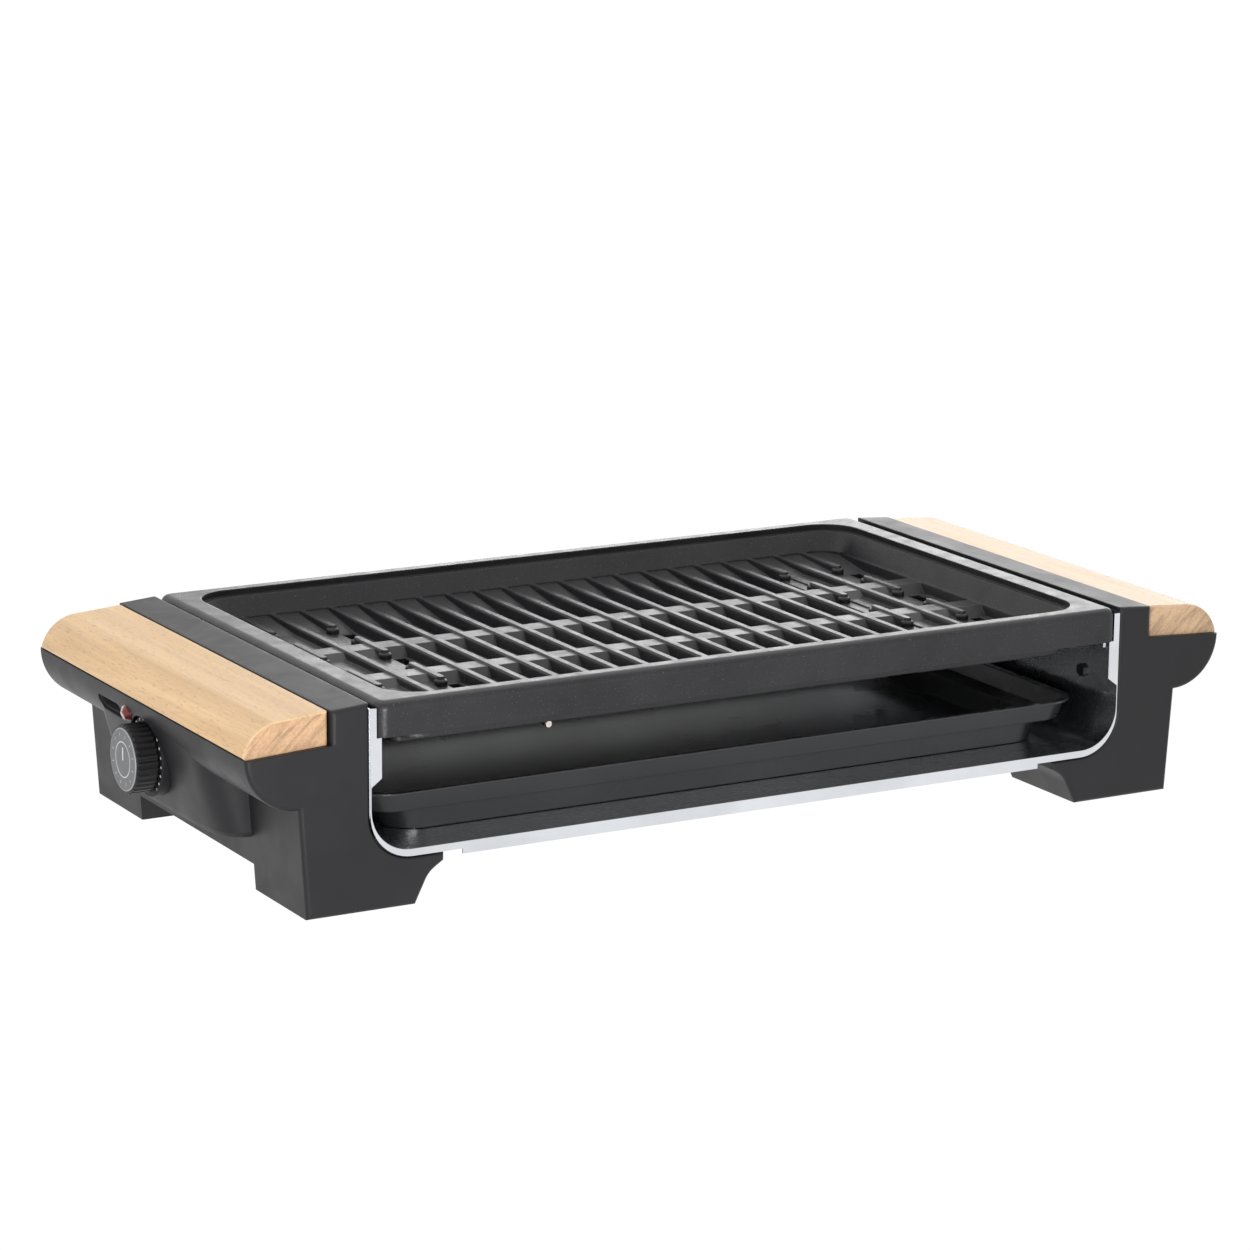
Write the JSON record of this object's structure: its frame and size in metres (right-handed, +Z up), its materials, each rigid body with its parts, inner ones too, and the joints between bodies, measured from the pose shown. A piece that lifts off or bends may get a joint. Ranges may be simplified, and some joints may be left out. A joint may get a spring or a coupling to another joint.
{
  "type": "tabletop electric grill with drip tray",
  "caption": "Low tabletop electric grill: ribbed lift-off cast plate on a steel pan between two black end housings with wooden handles, a thermostat knob and a slide-out drip tray.",
  "frame": {"origin": "on the table, under the middle of the overall box, between the four rubber feet", "axes": "+X to the right along the length with the knob on the -X side, +Y to the back, +Z up; the drip tray comes out towards -Y"},
  "size_m": [0.5552, 0.254, 0.1011],
  "materials": {
    "housing": "moulded heat-resistant plastic, satin black",
    "cover": "moulded plastic, matte black",
    "wood": "light beech, sanded and clear lacquered",
    "steel": "bright rolled stainless sheet",
    "screw": "zinc plated steel",
    "rubber": "black rubber",
    "tray": "glossy black enamel on thin steel",
    "cast": "cast aluminium with dark non-stick coating",
    "element": "oxidised steel-sheathed heating tube",
    "bulb": "thin metal sensor bulb and capillary",
    "thermostat": "pale moulded switch case",
    "spindle": "turned brass",
    "knob_plastic": "black moulded plastic",
    "cap": "satin silver disc",
    "lamp_body": "lamp holder",
    "lens": "amber-red lens",
    "wire": "heat-proof sleeved wire"
  },
  "bodies": {
    "frame": {"right_housing": "housing", "left_housing": "housing", "right_base_cover": "cover", "left_base_cover": "cover", "right_wood_handle": "wood", "left_wood_handle": "wood", "right_plate_rail": "steel", "left_plate_rail": "steel", "base_cover_screws": "screw", "handle_screws": "screw", "pan_screws": "screw", "rubber_feet": "rubber", "steel_pan": "steel", "rear_panel": "steel", "heating_element": "element", "element_terminal_bracket": "steel", "element_far_bracket": "steel", "sensor_bulb": "bulb", "thermostat": "thermostat", "thermostat_nut": "screw", "dial_ring": "knob_plastic", "pilot_lamp_body": "lamp_body", "pilot_lamp_lens": "lens", "cord_gland": "rubber", "terminal_block": "cover", "thermal_fuse": "steel", "wire_block_to_thermostat": "wire", "wire_thermostat_to_element": "wire", "wire_element_to_fuse": "wire", "wire_fuse_to_block": "wire"},
    "drip_tray": {"drip_tray": "tray"},
    "grill_plate": {"grill_plate": "cast"},
    "knob": {"knob": "knob_plastic", "knob_cap": "cap", "thermostat_spindle": "spindle"}
  },
  "joints": [
    {"name": "tray_slide", "type": "slide", "parent": "frame", "child": "drip_tray", "axis": [0, -1, 0], "range_m": [0, 0.2]},
    {"name": "plate_lift", "type": "slide", "parent": "frame", "child": "grill_plate", "axis": [0, 0, 1], "range_m": [0, 0.15]},
    {"name": "knob_turn", "type": "hinge", "parent": "frame", "child": "knob", "pos_m": [-0.27, 0, 0.0531], "axis": [1, 0, 0], "range_deg": [0, 270]}
  ]
}
